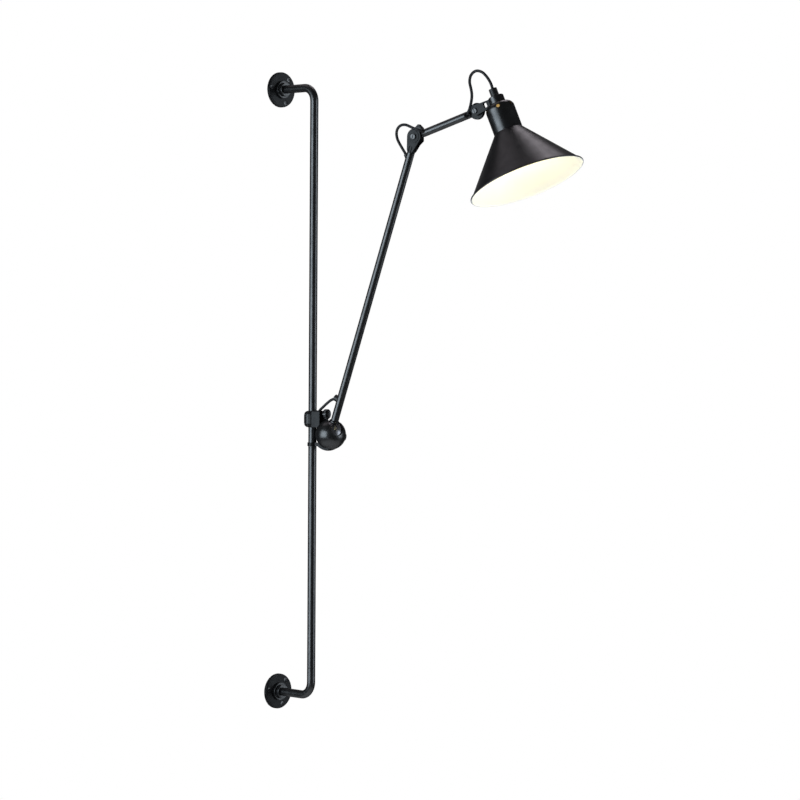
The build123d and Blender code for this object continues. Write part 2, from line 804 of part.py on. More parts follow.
def elbow_fork():
    """Fork at the top of the lower arm: two round cheeks on a neck that enters the tube."""
    thickness = 2 * cheek_outer
    neck_radius_here = lower_tube_diameter / 2
    drop = elbow_neck - neck_radius_here
    body = teardrop(elbow_disc_diameter / 2, neck_radius_here, drop, thickness)
    below = block(
        (-elbow_disc_diameter, -elbow_disc_diameter, -2 * elbow_neck),
        (elbow_disc_diameter, elbow_disc_diameter, -elbow_neck),
    )
    round_neck = rod(neck_radius_here, (0, 0, -elbow_neck), UP, elbow_neck - elbow_slot_depth - 2)
    body = body + round_neck - below
    plug_radius = lower_tube_diameter / 2 - lower_tube_wall - seat_gap
    body = body + rod(plug_radius, (0, 0, -elbow_neck - elbow_plug_length), UP, elbow_plug_length + 1)
    face = rod(elbow_face_diameter / 2, (0, -cheek_outer, 0), -AWAY, elbow_face_height)
    body = body + face
    slot = block(
        (-elbow_disc_diameter, -elbow_slot / 2, -elbow_slot_depth),
        (elbow_disc_diameter, elbow_slot / 2, elbow_disc_diameter),
    )
    bolt_hole = rod(elbow_bolt_diameter / 2 + seat_gap, (0, -thickness, 0), AWAY, 2 * thickness)
    return elbow_place * (body - slot - bolt_hole)


def elbow_bolt():
    """Bolt through the fork and the tongue."""
    seat = -cheek_outer - elbow_face_height
    finish = lever_start + lever_thickness + bolt_end_length
    shank = rod(elbow_bolt_diameter / 2, (0, seat, 0), AWAY, finish - seat)
    head = slotted_head(elbow_bolt_head / 2, elbow_bolt_head_height, (0, seat, 0), -AWAY, 1.4)
    return elbow_place * (shank + head)


def lever_washer():
    """Washer between the fork and the lever nut."""
    bore = elbow_bolt_diameter / 2 + running_gap
    return elbow_place * tube(
        lever_washer_diameter / 2, bore, (0, cheek_outer, 0), AWAY, lever_washer_thickness
    )


def elbow_lever_nut():
    """Long nut with pointed ends that is turned by hand to lock the elbow."""
    side = lever_width / 2
    corners = [
        (0, lever_upper_length),
        (side, lever_upper_length - lever_point),
        (side, lever_point - lever_lower_length),
        (0, -lever_lower_length),
        (-side, lever_point - lever_lower_length),
        (-side, lever_upper_length - lever_point),
    ]
    face = Plane.XZ * make_face(Polyline(corners, close=True))
    body = extrude(face, amount=-lever_thickness)
    body = chamfer(body.edges().filter_by(GeomType.LINE).group_by(Axis.Y)[-1], lever_edge)
    bore = rod(elbow_bolt_diameter / 2 + running_gap, (0, -1, 0), AWAY, lever_thickness + 2)
    return Pos(elbow_point) * Pos(0, lever_start, 0) * (body - bore)


# ---- upper arm, from the elbow's pivot out along +X, then placed
def elbow_tongue():
    """Flat tongue of the upper arm between the fork's cheeks."""
    half = tongue_thickness / 2
    disc = rod(tongue_diameter / 2, (0, -half, 0), AWAY, tongue_thickness)
    rise_half = tongue_neck_height / 2
    neck = block((0, -half, -rise_half), (upper_tube_start, half, rise_half))
    shoulder = rod(upper_tube_diameter / 2, (upper_tube_start - 2, 0, 0), OUT, 2)
    plug_radius = upper_tube_diameter / 2 - upper_tube_wall - seat_gap
    plug = rod(plug_radius, (upper_tube_start - 1, 0, 0), OUT, upper_plug_length + 1)
    hole_start = (0, -tongue_diameter, 0)
    bolt_hole = rod(elbow_bolt_diameter / 2 + running_gap, hole_start, AWAY, 2 * tongue_diameter)
    cable_room, length = cable_form(elbow_route, elbow_point, hole_clearance)
    return upper_place * (disc + neck + shoulder + plug - bolt_hole) - cable_room


def friction_washers():
    """Two thin washers between the tongue and the cheeks."""
    inner_face = tongue_thickness / 2 + running_gap
    thickness = elbow_slot / 2 - inner_face - running_gap
    bore = elbow_bolt_diameter / 2 + running_gap
    washer = tube(friction_washer_diameter / 2, bore, (0, inner_face, 0), AWAY, thickness)
    return [upper_place * washer, upper_place * (Rot(180, 0, 0) * washer)]


def upper_arm_tube():
    """Short tube of the upper arm, with its two cable holes."""
    length = upper_arm_length - upper_tube_start - upper_tube_stop
    radius = upper_tube_diameter / 2
    body = tube(radius, radius - upper_tube_wall, (upper_tube_start, 0, 0), OUT, length)
    elbow_room, elbow_length = cable_form(elbow_route, elbow_point, hole_clearance)
    head_room, head_length = cable_form(head_route, head_point, hole_clearance)
    return upper_place * body - elbow_room - head_room


def head_eye():
    """Round eye at the outer end of the upper arm."""
    half = eye_thickness / 2
    disc = rod(eye_diameter / 2, (0, -half, 0), AWAY, eye_thickness)
    disc = chamfer(disc.edges().filter_by(GeomType.CIRCLE), 0.5)
    neck = block((-upper_tube_stop, -half, -eye_neck_width / 2), (0, half, eye_neck_width / 2))
    shoulder = rod(upper_tube_diameter / 2, (-upper_tube_stop, 0, 0), OUT, 2)
    plug_radius = upper_tube_diameter / 2 - upper_tube_wall - seat_gap
    plug = rod(plug_radius, (1 - upper_tube_stop, 0, 0), -OUT, upper_plug_length + 1)
    hole_start = (0, -eye_diameter, 0)
    bolt_hole = rod(head_bolt_diameter / 2 + running_gap, hole_start, AWAY, 2 * eye_diameter)
    cable_room, length = cable_form(head_route, head_point, hole_clearance)
    return eye_place * (disc + neck + shoulder + plug - bolt_hole) - cable_room


# ---- head
def head_stirrup():
    """Bracket of the head: an eye and a flat arm with a window, shaped to the cap."""
    eye_radius = stirrup_eye_diameter / 2
    bar = stirrup_bar / 2
    pad = head_reach - cap_radius + 2
    upper = math.radians(stirrup_upper_blend)
    lower = math.radians(stirrup_lower_blend)
    outline = [
        (eye_radius * math.cos(upper), eye_radius * math.sin(upper)),
        (0, stirrup_pivot_top),
        (head_reach, stirrup_axis_top),
        (head_reach, -stirrup_lower_drop - bar),
        (0, -stirrup_lower_drop - bar),
        (eye_radius * math.cos(lower), eye_radius * math.sin(lower)),
    ]
    face = Plane.XZ * make_face(Polyline(outline, close=True))
    body = Pos(0, stirrup_near, 0) * extrude(face, amount=-stirrup_thickness)
    body = body + rod(eye_radius, (0, stirrup_near, 0), AWAY, stirrup_thickness)
    window = block(
        (eye_radius + stirrup_window_start, stirrup_near - 1, bar - stirrup_lower_drop),
        (pad - stirrup_window_stop, stirrup_far + 1, stirrup_window_top),
    )
    window = fillet(window.edges().filter_by(Axis.Y), 1.5)
    body = body - window
    body = body - rod(cap_radius, (head_reach, 0, -neck_drop), UP, head_top)
    dome = Pos(head_reach, 0, -neck_drop) * neck_cover_form()
    hole_start = (0, -eye_diameter, 0)
    bolt_hole = rod(head_bolt_diameter / 2 + seat_gap, hole_start, AWAY, 2 * eye_diameter)
    return head_place * (body - dome - bolt_hole)


def head_bolt():
    """Bolt through the stirrup and the arm's eye."""
    finish = eye_thickness / 2 + facing_gap + head_nut_thickness + bolt_end_length
    shank = rod(head_bolt_diameter / 2, (0, stirrup_near, 0), AWAY, finish - stirrup_near)
    head = slotted_head(
        head_bolt_head / 2, head_bolt_head_height, (0, stirrup_near, 0), -AWAY, 1.4
    )
    return head_place * (shank + head)


def head_washer():
    """Thin washer between the eye and the stirrup."""
    bore = head_bolt_diameter / 2 + running_gap
    start = (0, stirrup_far + seat_gap, 0)
    return head_place * tube(
        stirrup_eye_diameter / 2, bore, start, AWAY, head_washer_thickness
    )


def head_round_nut():
    """Grooved round nut behind the arm's eye."""
    start = Vector(0, eye_thickness / 2 + facing_gap, 0)
    nut = grooved_knob(
        head_nut_diameter / 2, head_nut_thickness, start, AWAY, 1.0, head_nut_groove_count, 0.7
    )
    bore = rod(head_bolt_diameter / 2 + running_gap, (0, 0, 0), AWAY, 2 * eye_diameter)
    return head_place * (nut - bore)


def neck_outline(inset):
    """Face of the neck and shoulder, filled to the axis."""
    across = neck_radius - cap_radius
    low = -neck_length
    wall = neck_radius - inset
    top = shoulder_height - inset
    side = Line((wall, 0, low), (wall, 0, 0))
    centre = Plane(origin=(cap_radius - inset, 0, 0), x_dir=(1, 0, 0), z_dir=(0, -1, 0))
    bow = centre * EllipticalCenterArc((0, 0), across, top, start_angle=0, arc_size=90)
    lid = Line((cap_radius - inset, 0, top), (0, 0, top))
    axis_line = Line((0, 0, top), (0, 0, low))
    base = Line((0, 0, low), (wall, 0, low))
    return make_face([side, bow, lid, axis_line, base])


def neck_cover_form():
    """Solid outer form of the neck and its rounded shoulder."""
    return revolve(neck_outline(0), Axis.Z)


def neck_cover():
    """Cover over the lamp holder, with vent holes around its shoulder."""
    body = neck_cover_form() - revolve(neck_outline(neck_wall), Axis.Z)
    body = body - rod(nipple_diameter / 2 + seat_gap, (0, 0, 0), UP, head_top)
    for step in range(vent_count):
        angle = math.radians(vent_first_angle + step * 360 / vent_count)
        along = (-math.sin(angle), -math.cos(angle), 0)
        body = body - rod(vent_diameter / 2, (0, 0, vent_rise), along, neck_diameter)
    return neck_place * body


def head_cap():
    """Round cap on top of the neck."""
    body = rod(cap_radius, (0, 0, shoulder_height), UP, cap_height)
    body = fillet(body.edges().filter_by(GeomType.CIRCLE).sort_by(Axis.Z)[-1], cap_edge)
    body = body - rod(nipple_diameter / 2 + seat_gap, (0, 0, 0), UP, head_top)
    return neck_place * body


def threaded_nipple():
    """Hollow stud that clamps the holder, the neck and the cap together."""
    start = holder_top - nipple_grip
    finish = shoulder_height + cap_height
    body = tube(nipple_diameter / 2, nipple_bore / 2, (0, 0, start), UP, finish - start)
    return neck_place * body


def cable_gland():
    """Open gland on the cap that the head's cable enters."""
    base = shoulder_height + cap_height
    body = rod(gland_diameter / 2, (0, 0, base), UP, gland_height)
    mouth_start = base + gland_height - gland_mouth_depth
    body = body - rod(gland_mouth / 2, (0, 0, mouth_start), UP, gland_height)
    body = body - rod(cable_diameter / 2 + running_gap, (0, 0, 0), UP, head_top)
    return neck_place * body


def lamp_holder():
    """Screw holder for the bulb, open downwards."""
    radius = holder_diameter / 2
    body = rod(radius, (0, 0, holder_bottom), UP, holder_length)
    body = fillet(body.edges().filter_by(GeomType.CIRCLE).sort_by(Axis.Z)[-1], 4.0)
    shoulder_base = flange_top()
    body = body + rod(
        holder_shoulder_diameter / 2, (0, 0, shoulder_base), UP, holder_shoulder_height
    )
    body = body - rod(holder_bore / 2, (0, 0, holder_bottom), UP, holder_bore_depth)
    seat = holder_top - nipple_grip - seat_gap
    body = body - rod(nipple_diameter / 2 + seat_gap, (0, 0, seat), UP, holder_length)
    body = body - rod(nipple_bore / 2, (0, 0, holder_bottom + holder_bore_depth - 1), UP, holder_length)
    return neck_place * body


def flange_top():
    """Upper face of the shade's inner flange."""
    return -neck_length + shade_collar_length


def holder_contact():
    """Centre contact at the bottom of the holder's bore."""
    start = holder_bottom + holder_bore_depth - contact_thickness
    body = tube(contact_diameter / 2, nipple_bore / 2, (0, 0, start), UP, contact_thickness)
    return neck_place * body


def shade():
    """Conical shade with a rolled rim, a short collar and an inner flange."""
    collar_outer = neck_radius - neck_wall - seat_gap
    collar_inner = collar_outer - shade_wall
    top = flange_top()
    inner_slope = shade_wall * math.hypot(1, (shade_radius - neck_radius) / shade_length)
    points = [
        (collar_outer, top),
        (collar_outer, -neck_length),
        (neck_radius, -neck_length),
        (shade_radius - shade_bead / 2, -rim_drop + shade_bead / 2),
        (shade_radius - shade_bead / 2 - inner_slope, -rim_drop + shade_bead / 2),
        (collar_inner, -neck_length + shade_wall),
        (collar_inner, top - shade_wall),
        (holder_diameter / 2 + facing_gap, top - shade_wall),
        (holder_diameter / 2 + facing_gap, top),
    ]
    wall = make_face(Polyline(points, close=True))
    bead = Pos(shade_radius - shade_bead / 2, shade_bead / 2 - rim_drop) * Circle(shade_bead / 2)
    section = Plane.XZ * (wall + bead)
    return neck_place * revolve(section, Axis.Z)


def shade_ring():
    """Ring on the holder that presses the shade's flange against the shoulder."""
    top = flange_top() - shade_wall
    body = tube(
        holder_shoulder_diameter / 2 - shade_wall,
        holder_diameter / 2 + seat_gap,
        (0, 0, top - ring_height),
        UP,
        ring_height,
    )
    return neck_place * body


def bulb_top():
    """Height of the bulb's centre contact."""
    return holder_bottom + holder_bore_depth - contact_thickness - seat_gap


def bulb_cap():
    """Screw cap of the bulb with its centre contact."""
    top = bulb_top()
    radius = bulb_cap_diameter / 2
    points = [
        (0, top),
        (contact_diameter / 3, top),
        (radius - 1.5, top - 4),
        (radius, top - 5.5),
        (radius, top - bulb_cap_length),
        (0, top - bulb_cap_length),
    ]
    return neck_place * spun(points)


def bulb_glass_form(inset):
    """Filled outline of the glass, or its inside with an inset."""
    radius = bulb_diameter / 2 - inset
    neck = bulb_neck_diameter / 2 - inset
    top = bulb_top() - bulb_cap_length - (inset if inset else 0)
    centre = -bulb_centre_drop
    join_angle = 25
    join = math.radians(join_angle)
    join_point = (radius * math.cos(join), 0, centre + radius * math.sin(join))
    neck_point = (neck, 0, top - 8)
    globe = Plane(origin=(0, 0, centre), x_dir=(1, 0, 0), z_dir=(0, -1, 0)) * CenterArc(
        (0, 0), radius, -90, 90 + join_angle
    )
    leave = Vector(-math.sin(join), 0, math.cos(join))
    flank = Spline(join_point, neck_point, tangents=[leave, Vector(0, 0, 1)])
    stem = Line(neck_point, (neck, 0, top))
    lid = Line((neck, 0, top), (0, 0, top))
    axis_line = Line((0, 0, top), (0, 0, centre - radius))
    return revolve(make_face([globe, flank, stem, lid, axis_line]), Axis.Z)


def bulb_glass():
    """Hollow glass of the bulb."""
    return neck_place * (bulb_glass_form(0) - bulb_glass_form(bulb_glass_wall))


# ---- build everything and write one file per node
lower_along = (elbow_point - ball_point).normalized()
upper_along = (head_point - elbow_point).normalized()
lower_tube_radius = lower_tube_diameter / 2
upper_tube_radius = upper_tube_diameter / 2

room = {
    "upper_wall_plate": wall_plate(),
    "upper_plate_hub": plate_hub(),
    "upper_hub_screw": hub_screw(),
    "upper_bent_tube": bent_tube(-1),
    "upper_joint_spigot": joint_spigot(-bent_leg),
    "straight_bar": straight_bar(),
    "lower_joint_spigot": joint_spigot(bent_leg - mount_spacing),
    "lower_bent_tube": Pos(0, 0, -mount_spacing) * bent_tube(1),
    "lower_wall_plate": Pos(0, 0, -mount_spacing) * wall_plate(),
    "lower_plate_hub": Pos(0, 0, -mount_spacing) * plate_hub(),
    "lower_hub_screw": Pos(0, 0, -mount_spacing) * hub_screw(),
}

swing = {
    "guide_bush": guide_bush(),
    "clamp_rear_half": clamp_rear_half(),
    "clamp_screws": clamp_screws(),
    "carriage_bracket": carriage_bracket(),
    "housing_screws": housing_screws(),
    "supply_inlet": supply_inlet(),
    "lower_guide_ring": lower_guide_ring(),
    "ball_near_half": ball_half(-1),
    "ball_far_half": ball_half(1),
    "pivot_bolt": pivot_bolt(),
    "clamp_knob": clamp_knob(),
    "clamp_knob_screw": clamp_screw(),
    "friction_ball": friction_ball(),
    "foot_collar": foot_collar(),
    "bracket_grommet": bracket_grommet(),
    "lower_arm_tube": lower_arm_tube(),
    "base_cable_ferrule": ferrule(
        base_route, ball_point, True, lower_along, lower_tube_radius,
        base_ferrule_diameter, base_ferrule_height
    ),
    "lower_elbow_ferrule": ferrule(
        elbow_route, elbow_point, False, lower_along, lower_tube_radius,
        ferrule_diameter, ferrule_height
    ),
    "elbow_fork": elbow_fork(),
    "elbow_bolt": elbow_bolt(),
    "lever_washer": lever_washer(),
    "elbow_lever_nut": elbow_lever_nut(),
    "elbow_tongue": elbow_tongue(),
    "friction_washers": friction_washers(),
    "upper_arm_tube": upper_arm_tube(),
    "upper_elbow_ferrule": ferrule(
        elbow_route, elbow_point, True, upper_along, upper_tube_radius,
        ferrule_diameter, ferrule_height
    ),
    "head_cable_ferrule": ferrule(
        head_route, head_point, False, upper_along, upper_tube_radius,
        ferrule_diameter, ferrule_height
    ),
    "head_eye": head_eye(),
    "head_stirrup": head_stirrup(),
    "head_bolt": head_bolt(),
    "head_washer": head_washer(),
    "head_round_nut": head_round_nut(),
    "neck_cover": neck_cover(),
    "head_cap": head_cap(),
    "threaded_nipple": threaded_nipple(),
    "cable_gland": cable_gland(),
    "lamp_holder": lamp_holder(),
    "holder_contact": holder_contact(),
    "shade": shade(),
    "shade_ring": shade_ring(),
    "bulb_cap": bulb_cap(),
    "bulb_glass": bulb_glass(),
    "base_cable": cable("base_cable", base_route, ball_point),
    "elbow_cable": cable("elbow_cable", elbow_route, elbow_point),
    "head_cable": cable("head_cable", head_route, head_point),
}


def write(name, pieces, place):
    """Write one node: one piece, or a list of separate pieces."""
    listed = pieces if isinstance(pieces, list) else [pieces]
    solids = [place * solid for piece in listed for solid in piece.solids()]
    expected = len(listed)
    if len(solids) != expected:
        print("   ", name, "has", len(solids), "solids instead of", expected)
    export_step(Compound(solids), "parts/" + name + ".step")


for node, pieces in room.items():
    write(node, pieces, Location())
for node, pieces in swing.items():
    write(node, pieces, room_from_swing)
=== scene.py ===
import json
import math

import bpy
from mathutils import Matrix, Vector


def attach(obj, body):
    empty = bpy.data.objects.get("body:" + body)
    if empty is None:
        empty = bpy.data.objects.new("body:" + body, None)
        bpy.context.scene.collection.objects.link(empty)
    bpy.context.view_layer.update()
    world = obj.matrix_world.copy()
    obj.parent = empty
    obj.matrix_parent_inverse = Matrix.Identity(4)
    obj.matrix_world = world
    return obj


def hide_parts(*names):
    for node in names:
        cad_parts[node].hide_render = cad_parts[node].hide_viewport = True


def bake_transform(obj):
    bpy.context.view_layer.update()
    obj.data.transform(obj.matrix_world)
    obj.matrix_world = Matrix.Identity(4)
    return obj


# Looks of a black wall lamp: a vertical bar, a carriage with a ball, two arms and a conical shade.
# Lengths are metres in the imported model's frame. The wall is the plane Y = 0, the room is on its
# -Y side, Z is up, and the origin is the middle of the upper wall plate.

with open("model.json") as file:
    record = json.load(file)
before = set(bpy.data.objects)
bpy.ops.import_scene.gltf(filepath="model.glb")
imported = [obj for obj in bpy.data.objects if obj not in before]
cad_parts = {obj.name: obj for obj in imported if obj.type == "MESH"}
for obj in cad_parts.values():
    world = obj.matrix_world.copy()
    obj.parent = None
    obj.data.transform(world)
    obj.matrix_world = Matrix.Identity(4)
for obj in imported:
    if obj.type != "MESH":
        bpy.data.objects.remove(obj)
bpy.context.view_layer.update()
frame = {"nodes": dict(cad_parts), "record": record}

# ---- the lamp's own sizes, as in the CAD model
STAND_OFF = 0.091
BALL_DROP = 0.6247
BALL_REACH = 0.0405
ARM_YAW = math.radians(11.0)
LOWER_ARM_LENGTH = 0.55893
LOWER_ARM_LEAN = math.radians(18.69)
UPPER_ARM_LENGTH = 0.135
UPPER_ARM_RISE = math.radians(17.4)
HEAD_TILT = math.radians(24.0)
HEAD_REACH = 0.0433
NECK_DROP = 0.0185
NECK_RADIUS = 0.02575
NECK_LENGTH = 0.041
SHADE_RADIUS = 0.103
SHADE_LENGTH = 0.096
SHADE_WALL = 0.001
CABLE_DIAMETER = 0.005
PLATE_THICKNESS = 0.006
MOUNT_SPACING = 1.1
SCREW_CIRCLE = 0.050
SCREW_FIRST_DEGREES = 50.0
SCREW_COUNT = 3

# ---- directions of the arms' plane: out from the bar, away across the plane, and up
OUT = Vector((math.sin(ARM_YAW), -math.cos(ARM_YAW), 0))
AWAY = Vector((math.cos(ARM_YAW), math.sin(ARM_YAW), 0))
UP = Vector((0, 0, 1))

# ---- the joints' middles at rest, and the point and axis of the shade's neck
BALL = Vector((0, -STAND_OFF, -BALL_DROP)) + OUT * BALL_REACH
ELBOW = BALL + LOWER_ARM_LENGTH * (
    OUT * math.sin(LOWER_ARM_LEAN) + UP * math.cos(LOWER_ARM_LEAN)
)
HEAD = ELBOW + UPPER_ARM_LENGTH * (
    OUT * math.cos(UPPER_ARM_RISE) + UP * math.sin(UPPER_ARM_RISE)
)
HEAD_SIDE = OUT * math.cos(HEAD_TILT) + UP * math.sin(HEAD_TILT)
HEAD_AXIS = UP * math.cos(HEAD_TILT) - OUT * math.sin(HEAD_TILT)
NECK = HEAD + HEAD_SIDE * HEAD_REACH - HEAD_AXIS * NECK_DROP


def add_object(name, data):
    """New object in the scene for a mesh, curve, lamp or camera."""
    made = bpy.data.objects.new(name, data)
    bpy.context.scene.collection.objects.link(made)
    return made


def add_mesh(name, points, faces):
    mesh = bpy.data.meshes.new(name)
    mesh.from_pydata([tuple(point) for point in points], [], faces)
    mesh.update()
    return add_object(name, mesh)


# ---- camera at the photograph's place, from a fit of its pixels
IMAGE_WIDTH = 800
FOCAL_PIXELS = 2864.36  # focal length in pixels of an image that is IMAGE_WIDTH wide
SENSOR_MILLIMETRES = 36
CAMERA_AZIMUTH = math.radians(-45.0)
CAMERA_ELEVATION = math.radians(1.699)
CAMERA_ROLL = math.radians(0.376)
CAMERA_DISTANCE = 5.22392
CAMERA_RIGHT = 0.21674
CAMERA_UP = -0.56560
CAMERA_OFFSET = Vector((0, -0.0025, 0))
CAMERA_CLIP_END = 50


def make_camera():
    azimuth, elevation, roll = CAMERA_AZIMUTH, CAMERA_ELEVATION, CAMERA_ROLL
    back = Vector(
        (
            math.sin(azimuth) * math.cos(elevation),
            -math.cos(azimuth) * math.cos(elevation),
            math.sin(elevation),
        )
    )
    level = Vector((math.cos(azimuth), math.sin(azimuth), 0))
    upright = back.cross(level)
    right = level * math.cos(roll) + upright * math.sin(roll)
    top = upright * math.cos(roll) - level * math.sin(roll)
    data = bpy.data.cameras.new("camera")
    data.lens = FOCAL_PIXELS / IMAGE_WIDTH * SENSOR_MILLIMETRES
    data.sensor_width = SENSOR_MILLIMETRES
    data.clip_end = CAMERA_CLIP_END
    camera = add_object("camera", data)
    place = back * CAMERA_DISTANCE + right * CAMERA_RIGHT + top * CAMERA_UP + CAMERA_OFFSET
    turned = Matrix((right, top, back)).transposed().to_4x4()
    camera.matrix_world = Matrix.Translation(place) @ turned
    bpy.context.scene.camera = camera


# ---- shader building
WHITE = (1.0, 1.0, 1.0, 1.0)


class Shader:
    """Node tree of a material or of the world, with short calls for the nodes used here."""

    def __init__(self, owner, output_kind, coordinates):
        owner.use_nodes = True
        self.owner = owner
        self.tree = owner.node_tree
        self.tree.nodes.clear()
        self.output = self.node(output_kind)
        self.place = self.node("ShaderNodeTexCoord").outputs[coordinates]

    def node(self, kind, **settings):
        made = self.tree.nodes.new(kind)
        for key, value in settings.items():
            setattr(made, key, value)
        return made

    def feed(self, socket, value):
        """Link a socket to another one's output, or set it to a value."""
        if isinstance(value, bpy.types.NodeSocket):
            self.tree.links.new(value, socket)
        else:
            socket.default_value = value

    def fed_node(self, kind, **inputs):
        """Node with its inputs fed by name, where _ stands for a space."""
        made = self.node(kind)
        for key, value in inputs.items():
            self.feed(made.inputs[key.replace("_", " ")], value)
        return made

    def math(self, operation, first, second=0.0):
        made = self.node("ShaderNodeMath", operation=operation)
        self.feed(made.inputs[0], first)
        self.feed(made.inputs[1], second)
        return made.outputs[0]

    def vector(self, operation, first, second=(0.0, 0.0, 0.0)):
        made = self.node("ShaderNodeVectorMath", operation=operation)
        self.feed(made.inputs[0], first)
        self.feed(made.inputs[1], second)
        scalar = operation in ("DOT_PRODUCT", "LENGTH")
        return made.outputs["Value"] if scalar else made.outputs["Vector"]

    def scaled(self, vector, factor):
        made = self.node("ShaderNodeVectorMath", operation="SCALE")
        self.feed(made.inputs[0], vector)
        self.feed(made.inputs["Scale"], factor)
        return made.outputs["Vector"]

    def noise(self, scale, detail):
        """Noise with about scale features to the metre, from 0 to 1."""
        made = self.fed_node("ShaderNodeTexNoise", Vector=self.place, Scale=scale, Detail=detail)
        return made.outputs["Fac"]

    def spread(self, value, low, high, start=0.3, finish=0.7):
        """Value turned from start..finish into low..high, and held there outside them."""
        made = self.fed_node(
            "ShaderNodeMapRange",
            Value=value,
            From_Min=start,
            From_Max=finish,
            To_Min=low,
            To_Max=high,
        )
        return made.outputs["Result"]

    def mix(self, share, first, second):
        """Colour between two others, each a socket or red, green and blue."""
        made = self.node("ShaderNodeMix", data_type="RGBA")
        self.feed(made.inputs["Factor"], share)
        for side, colour in (("A", first), ("B", second)):
            is_socket = isinstance(colour, bpy.types.NodeSocket)
            self.feed(made.inputs[side], colour if is_socket else (*colour, 1.0))
        return made.outputs["Result"]

    def edges(self, radius, gain):
        """How sharply the surface turns nearby: 0 on flats, up to 1 on edges."""
        bevel = self.node("ShaderNodeBevel", samples=4)
        self.feed(bevel.inputs["Radius"], radius)
        normal = self.node("ShaderNodeNewGeometry").outputs["Normal"]
        alike = self.vector("DOT_PRODUCT", bevel.outputs["Normal"], normal)
        turned = self.math("SUBTRACT", 1.0, alike)
        return self.math("MINIMUM", self.math("MULTIPLY", turned, gain), 1.0)

    def relief(self, scale, detail, depth):
        """Normal of a fine noise relief."""
        height = self.noise(scale, detail)
        made = self.fed_node("ShaderNodeBump", Height=height, Distance=depth, Strength=1.0)
        return made.outputs["Normal"]

    def surface(self, **inputs):
        return self.fed_node("ShaderNodeBsdfPrincipled", **inputs).outputs["BSDF"]

    def glow(self, colour, strength):
        return self.fed_node("ShaderNodeEmission", Color=colour, Strength=strength).outputs[0]

    def both(self, first, second):
        """Sum of two shaders."""
        made = self.node("ShaderNodeAddShader")
        self.feed(made.inputs[0], first)
        self.feed(made.inputs[1], second)
        return made.outputs[0]

    def between(self, share, first, second):
        """Mix of two shaders, with share of the second."""
        made = self.node("ShaderNodeMixShader")
        self.feed(made.inputs[0], share)
        self.feed(made.inputs[1], first)
        self.feed(made.inputs[2], second)
        return made.outputs[0]

    def finish(self, shader):
        self.feed(self.output.inputs["Surface"], shader)
        return self.owner


def material_shader(name):
    return Shader(bpy.data.materials.new(name), "ShaderNodeOutputMaterial", "Object")


def coat(s, base, roughness, sheen, normal):
    """Deep paint film: a dull body under an even, weak gloss."""
    dull = s.fed_node("ShaderNodeBsdfDiffuse", Color=base, Normal=normal)
    gloss = s.fed_node("ShaderNodeBsdfGlossy", Color=WHITE, Roughness=roughness, Normal=normal)
    return s.between(sheen, dull.outputs[0], gloss.outputs[0])


# ---- paint
WORN_BLACK = (0.03, 0.03, 0.033)
EDGE_RADIUS = 0.0006
EDGE_GAIN = 3.0
PAINT_GRAIN = 900.0
PAINT_RELIEF = 0.000002
FINE_SPECKS = 420.0
SPECK_PATCHES = 60.0
SHEEN_PATCHES = 55.0


def shades(colour, darker, lighter):
    """A darker and a lighter shade of a colour."""
    dark = tuple(c * darker for c in colour)
    light = tuple(min(1.0, c * lighter) for c in colour)
    return dark, light


def edge_wear(s, most):
    """Share of worn paint: specks along the edges, up to most."""
    specks = s.math(
        "MULTIPLY", s.noise(FINE_SPECKS, detail=4.0), s.noise(SPECK_PATCHES, detail=2.0)
    )
    worn = s.spread(specks, 0.0, most, start=0.2, finish=0.4)
    return s.math("MULTIPLY", s.edges(EDGE_RADIUS, EDGE_GAIN), worn)


def paint_film(s, colours, roughnesses, sheens, blotches, smudges, most_worn):
    """Paint whose colour, roughness and sheen each wander between two values.

    blotches and smudges are the noise scales of the colour and of the roughness.
    """
    tone = s.spread(s.noise(blotches, detail=4.0), 0.0, 1.0)
    base = s.mix(edge_wear(s, most_worn), s.mix(tone, *colours), WORN_BLACK)
    roughness = s.spread(s.noise(smudges, detail=3.0), *roughnesses)
    sheen = s.spread(s.noise(SHEEN_PATCHES, detail=3.0), *sheens)
    normal = s.relief(PAINT_GRAIN, 2.0, PAINT_RELIEF)
    return coat(s, base, roughness, sheen, normal)


def painted(name, colour, roughness, sheen):
    """Powder coat or paint: slight colour and gloss changes, fine relief, worn edges."""
    s = material_shader(name)
    film = paint_film(
        s,
        colours=shades(colour, darker=0.75, lighter=1.3),
        roughnesses=(roughness - 0.04, roughness + 0.05),
        sheens=(sheen * 0.88, sheen * 1.1),
        blotches=38.0,
        smudges=95.0,
        most_worn=1.0,
    )
    return s.finish(film)


SHADE_SHEEN = 0.045
SHADE_BLACKS = ((0.003, 0.0028, 0.003), (0.0055, 0.005, 0.0055))
LINING_WHITES = ((0.84, 0.835, 0.82), (0.88, 0.875, 0.86))
BLACK_SHARE_OF_WALL = 0.8


def inside_shade(s):
    """1 on the shade's inner side and 0 on its outer one, by the distance from its axis."""
    from_neck = s.vector("SUBTRACT", s.place, tuple(NECK))
    along = s.vector("DOT_PRODUCT", from_neck, tuple(HEAD_AXIS))
    on_axis = s.scaled(tuple(HEAD_AXIS), along)
    radial = s.vector("LENGTH", s.vector("SUBTRACT", from_neck, on_axis))
    slope = (SHADE_RADIUS - NECK_RADIUS) / SHADE_LENGTH
    below = s.math("MAXIMUM", s.math("SUBTRACT", -NECK_LENGTH, along), 0.0)
    outer = s.math("ADD", NECK_RADIUS, s.math("MULTIPLY", below, slope))
    limit = s.math("SUBTRACT", outer, SHADE_WALL * BLACK_SHARE_OF_WALL)
    return s.math("LESS_THAN", radial, limit)


